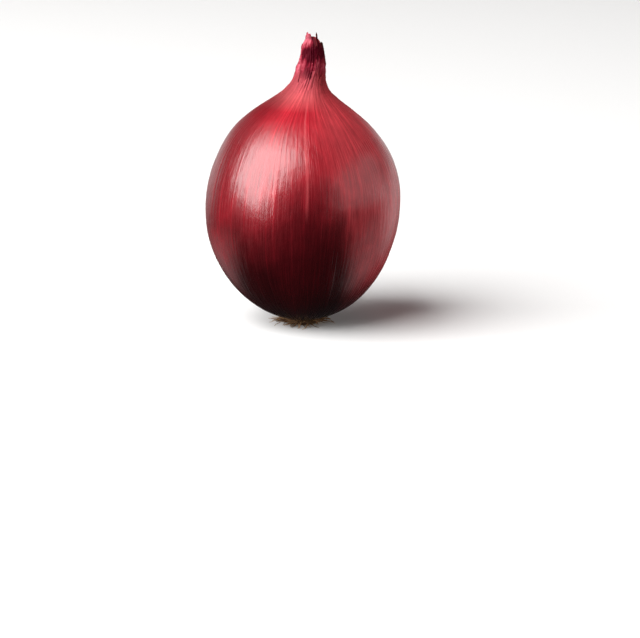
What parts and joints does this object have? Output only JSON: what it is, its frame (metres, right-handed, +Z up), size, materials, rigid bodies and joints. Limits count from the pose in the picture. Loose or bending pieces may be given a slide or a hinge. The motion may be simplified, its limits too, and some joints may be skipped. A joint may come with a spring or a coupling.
{
  "type": "red onion",
  "caption": "Whole red onion: a glossy, papery globe standing on its root plate, with a dried, pleated neck that ends in torn leaf sheaths.",
  "frame": {"origin": "on the surface that the onion stands on, at the middle of its outline seen from above", "axes": "+Z up along the onion's axis, from the root plate to the neck; +X to the right of the side that the picture shows, +Y away from it"},
  "size_m": [0.0754, 0.076, 0.1149],
  "materials": {
    "skin": "dry, papery onion skin, crimson to maroon, satin with a soft gloss",
    "root": "dry, corky root plate and thread-like roots, tan to brown, matt"
  },
  "bodies": {
    "root": {"bulb": "skin", "root_plate": "root"}
  },
  "joints": []
}
